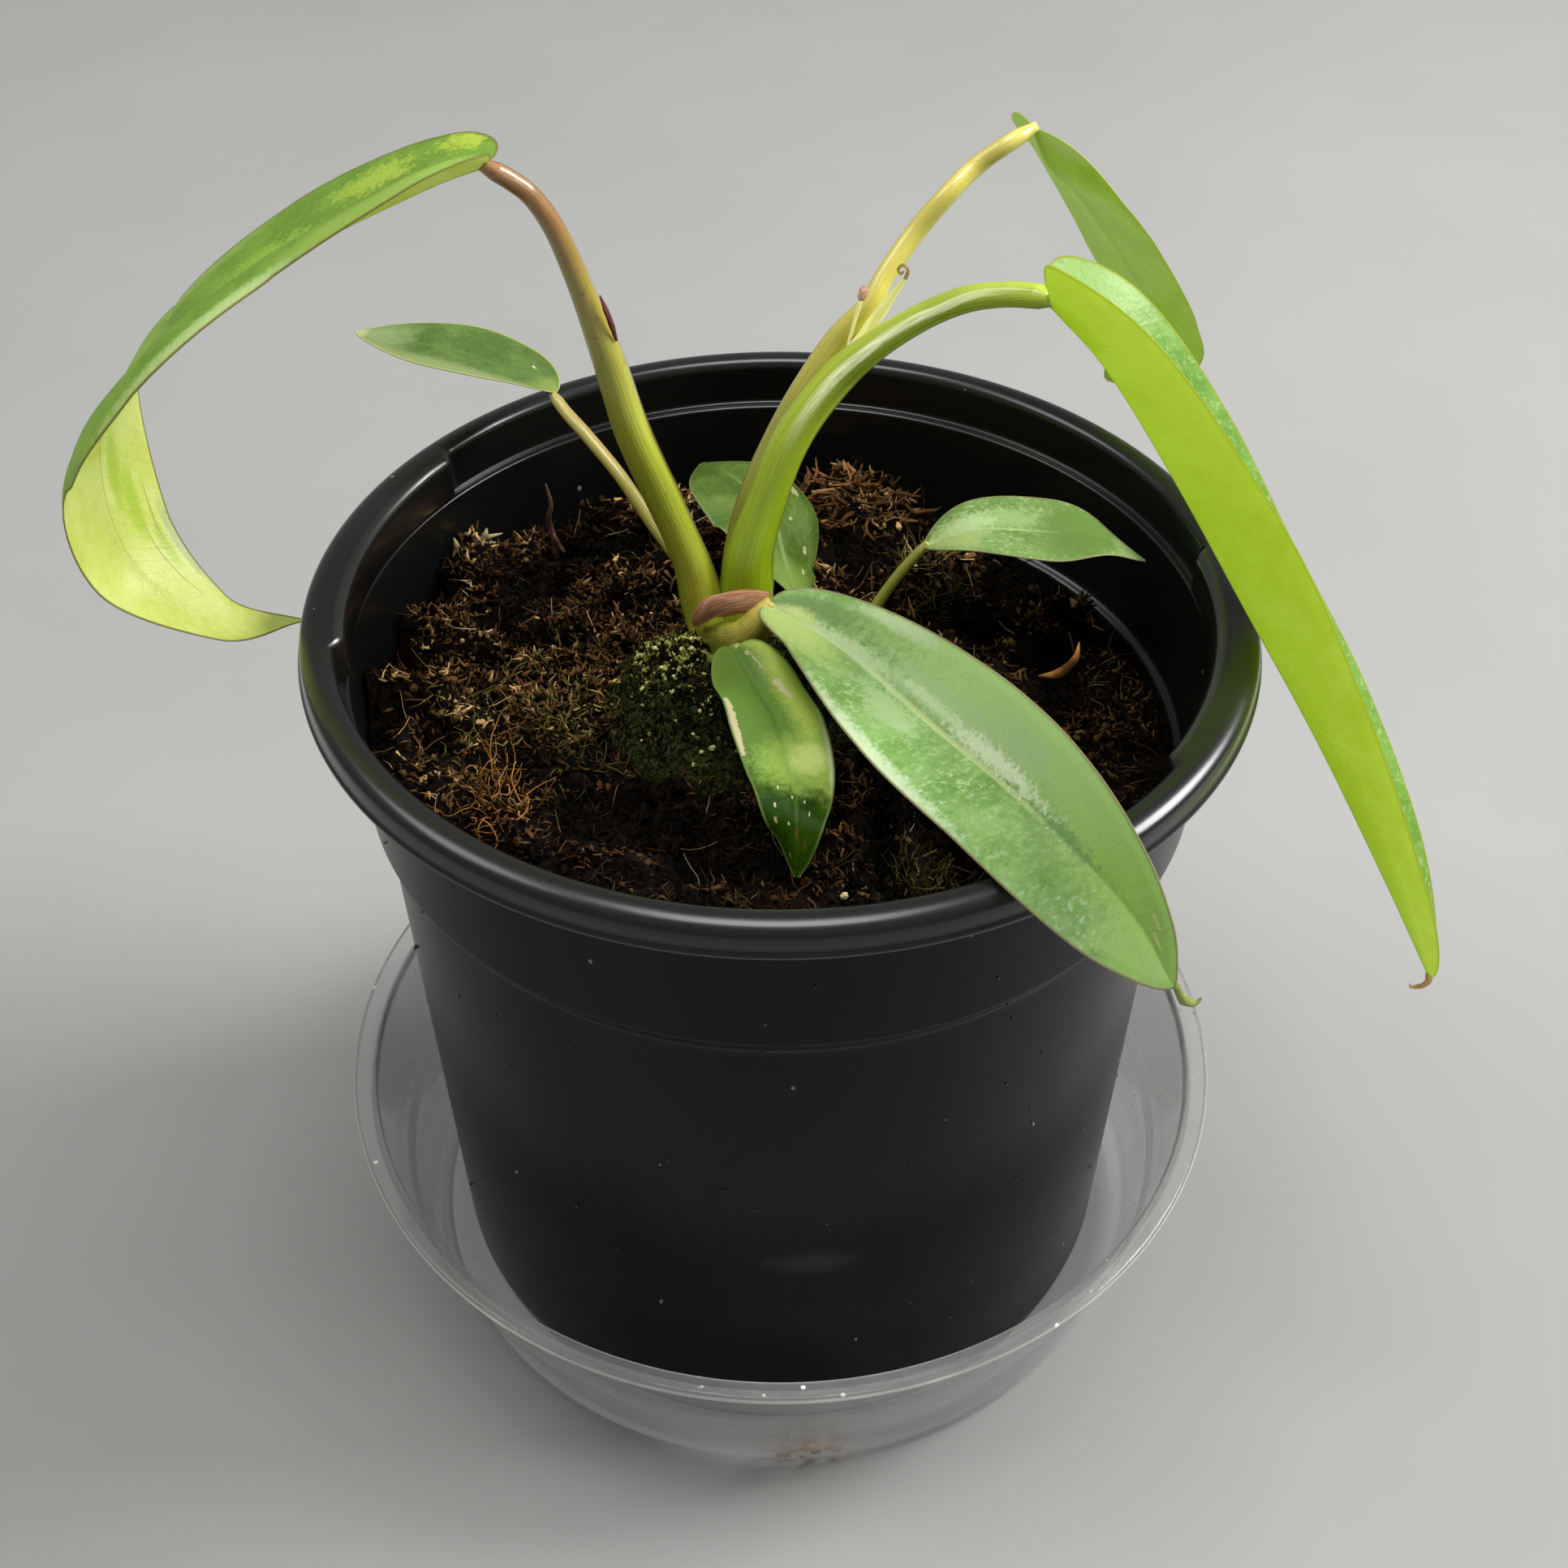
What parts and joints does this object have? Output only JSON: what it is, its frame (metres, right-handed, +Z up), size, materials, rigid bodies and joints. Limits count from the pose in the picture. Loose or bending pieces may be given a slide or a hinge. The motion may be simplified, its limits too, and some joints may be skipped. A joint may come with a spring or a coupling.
{
  "type": "potted philodendron",
  "caption": "Young climbing foliage plant with long narrow drooping leaves on thin arching stalks, in a black nursery pot with a stepped rim, standing in a clear plastic saucer.",
  "frame": {"origin": "centre of the saucer's flat underside, on the pot's axis", "axes": "+Z up along the pot's axis; -Y towards the front, where one leaf crosses the rim; +X to the right"},
  "size_m": [0.1719, 0.1353, 0.1707],
  "materials": {
    "saucer_plastic": "clear thin plastic, milky at the flange",
    "pot_plastic": "black satin",
    "soil": "dark brown fibrous potting mix",
    "moss": "mossy, dark green and granular",
    "stalk_green": "smooth living stalk, yellow-green",
    "stalk_red": "smooth living stalk, green below and reddish brown above",
    "dry_sheath": "dry papery reddish brown",
    "leaf_green": "satin leaf, upper side showing",
    "leaf_pale": "satin leaf, lime underside showing"
  },
  "bodies": {
    "root": {"saucer": "saucer_plastic", "pot": "pot_plastic", "soil": "soil", "rooting_plug": "moss", "crown": "stalk_green", "petiole_right": "stalk_green", "petiole_back": "stalk_green", "petiole_left": "stalk_red", "petiole_front": "stalk_green", "petiole_hanging": "stalk_green", "petiole_small_left": "stalk_green", "petiole_small_back": "stalk_green", "petiole_small_right": "stalk_green", "cataphyll": "stalk_green", "sheath_strap": "dry_sheath", "blade_left": "leaf_green", "blade_back": "leaf_pale", "blade_right": "leaf_pale", "blade_front": "leaf_green", "blade_hanging": "leaf_green", "blade_small_left": "leaf_green", "blade_small_back": "leaf_green", "blade_small_right": "leaf_green"}
  },
  "joints": []
}
